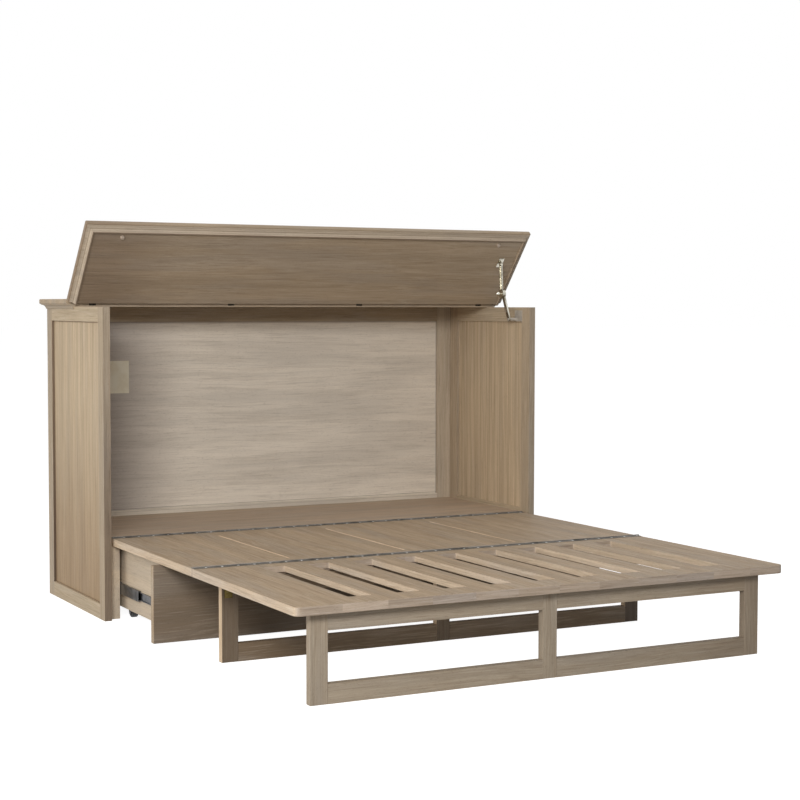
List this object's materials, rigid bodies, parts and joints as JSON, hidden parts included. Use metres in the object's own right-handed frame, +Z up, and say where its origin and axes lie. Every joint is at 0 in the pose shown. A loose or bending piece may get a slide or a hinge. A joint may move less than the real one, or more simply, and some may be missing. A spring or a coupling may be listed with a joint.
{
  "type": "cabinet bed",
  "caption": "Low wooden cabinet whose front unfolds over hinged leg frames into a bed platform, with a half lid on a stay and a storage drawer on slides and wheels below.",
  "frame": {"origin": "on the floor, below the centre of the open bed's bounding box", "axes": "+X to the right seen from the foot, +Y from the foot towards the cabinet's back, +Z up"},
  "size_m": [1.697, 2.0526, 1.3006],
  "materials": {
    "weathered_oak": "matt weathered driftwood oak",
    "back_board": "matt pale grey-beige wood",
    "drawer_wood": "matt oak, unlimed",
    "plate": "matt cream card, left bare",
    "clear_rubber": "soft translucent",
    "nickel": "satin nickel plate",
    "brass": "dull brass",
    "zinc_steel": "bright zinc plate",
    "black_plastic": "matt black",
    "black_rubber": "matt black"
  },
  "bodies": {
    "cabinet": {"left_front_stile": "weathered_oak", "left_rear_stile": "weathered_oak", "right_front_stile": "weathered_oak", "right_rear_stile": "weathered_oak", "side_top_rails": "weathered_oak", "side_bottom_rails": "weathered_oak", "side_panels": "weathered_oak", "back_stiles": "weathered_oak", "back_top_rail": "weathered_oak", "back_bottom_rail": "weathered_oak", "back_panel": "back_board", "blank_plate": "plate", "base_top": "weathered_oak", "base_sides": "weathered_oak", "rear_top": "weathered_oak", "rear_top_moulding": "weathered_oak", "lid_hinge_top_leaves": "nickel", "cabinet_hinge_pins": "nickel", "stay_side_bracket": "nickel", "hinge_1_base_leaf": "nickel", "hinge_1_base_screws": "nickel", "slide_outer_members": "zinc_steel"},
    "lid": {"lid_board": "weathered_oak", "lid_moulding": "weathered_oak", "lid_bumpers": "clear_rubber", "lid_hinge_lid_leaves": "nickel", "stay_lid_bracket": "nickel"},
    "stay_lower": {"stay_lower_arm": "nickel"},
    "stay_upper": {"stay_upper_arm": "nickel", "stay_knob": "nickel"},
    "section_1": {"section_1_panel": "weathered_oak", "hinge_1_section_leaf": "nickel", "hinge_2_section_1_leaf": "nickel", "section_1_screws": "nickel"},
    "section_2": {"section_2_panel": "weathered_oak", "hinge_2_section_2_leaf": "nickel", "section_2_screws": "nickel", "section_2_hinge_pins": "nickel", "leg_hinge_section_leaves": "brass"},
    "mid_leg": {"mid_leg_stiles": "weathered_oak", "mid_leg_rails": "weathered_oak", "mid_leg_hinge_leaves": "brass"},
    "front_leg": {"front_leg_stiles": "weathered_oak", "front_leg_rails": "weathered_oak", "front_leg_hinge_leaves": "brass"},
    "drawer": {"drawer_front": "weathered_oak", "drawer_sides": "drawer_wood", "drawer_bottom": "drawer_wood", "drawer_back": "drawer_wood", "slide_inner_members": "zinc_steel", "slide_latches": "black_plastic", "caster_frames": "zinc_steel"},
    "slide_middle": {"slide_middle_members": "zinc_steel"},
    "rear_wheel_pair": {"rear_wheels": "black_rubber"},
    "front_wheel_pair": {"front_wheels": "black_rubber"}
  },
  "joints": [
    {"name": "lid_hinge", "type": "hinge", "parent": "cabinet", "child": "lid", "pos_m": [0, 0.70475, 1.0505], "axis": [1, 0, 0], "range_deg": [0, 50]},
    {"name": "stay_lower_pivot", "type": "hinge", "parent": "cabinet", "child": "stay_lower", "pos_m": [0.766, 0.49325, 0.976], "axis": [-1, 0, 0], "range_deg": [0, 76.73]},
    {"name": "stay_upper_pivot", "type": "hinge", "parent": "lid", "child": "stay_upper", "pos_m": [0.762, 0.54358, 1.17987], "axis": [1, 0, 0], "range_deg": [0, 12.8]},
    {"name": "section_1_hinge", "type": "hinge", "parent": "cabinet", "child": "section_1", "pos_m": [0, 0.42775, 0.269], "axis": [-1, 0, 0], "range_deg": [0, 90]},
    {"name": "section_2_hinge", "type": "hinge", "parent": "section_1", "child": "section_2", "pos_m": [0, -0.30125, 0.269], "axis": [-1, 0, 0], "range_deg": [0, 180]},
    {"name": "mid_leg_hinge", "type": "hinge", "parent": "section_2", "child": "mid_leg", "pos_m": [0, -0.38365, 0.24], "axis": [-1, 0, 0], "range_deg": [0, 90]},
    {"name": "front_leg_hinge", "type": "hinge", "parent": "section_2", "child": "front_leg", "pos_m": [0, -0.95625, 0.24], "axis": [1, 0, 0], "range_deg": [0, 90]},
    {"name": "drawer_slide", "type": "slide", "parent": "cabinet", "child": "drawer", "axis": [0, 1, 0], "range_m": [0, 0.4175]},
    {"name": "slide_middle_run", "type": "slide", "parent": "cabinet", "child": "slide_middle", "axis": [0, 1, 0], "range_m": [0, 0.17953]},
    {"name": "rear_wheel_axle", "type": "hinge", "parent": "drawer", "child": "rear_wheel_pair", "pos_m": [0, 0.43625, 0.025], "axis": [-1, 0, 0], "continuous": true},
    {"name": "front_wheel_axle", "type": "hinge", "parent": "drawer", "child": "front_wheel_pair", "pos_m": [0, 0.04325, 0.025], "axis": [-1, 0, 0], "continuous": true}
  ],
  "couplings": [
    {"joint": "stay_lower_pivot", "follows": "lid_hinge", "ratio": 1.5346},
    {"joint": "stay_upper_pivot", "follows": "lid_hinge", "ratio": 0.2558},
    {"joint": "slide_middle_run", "follows": "drawer_slide", "ratio": 0.43}
  ]
}
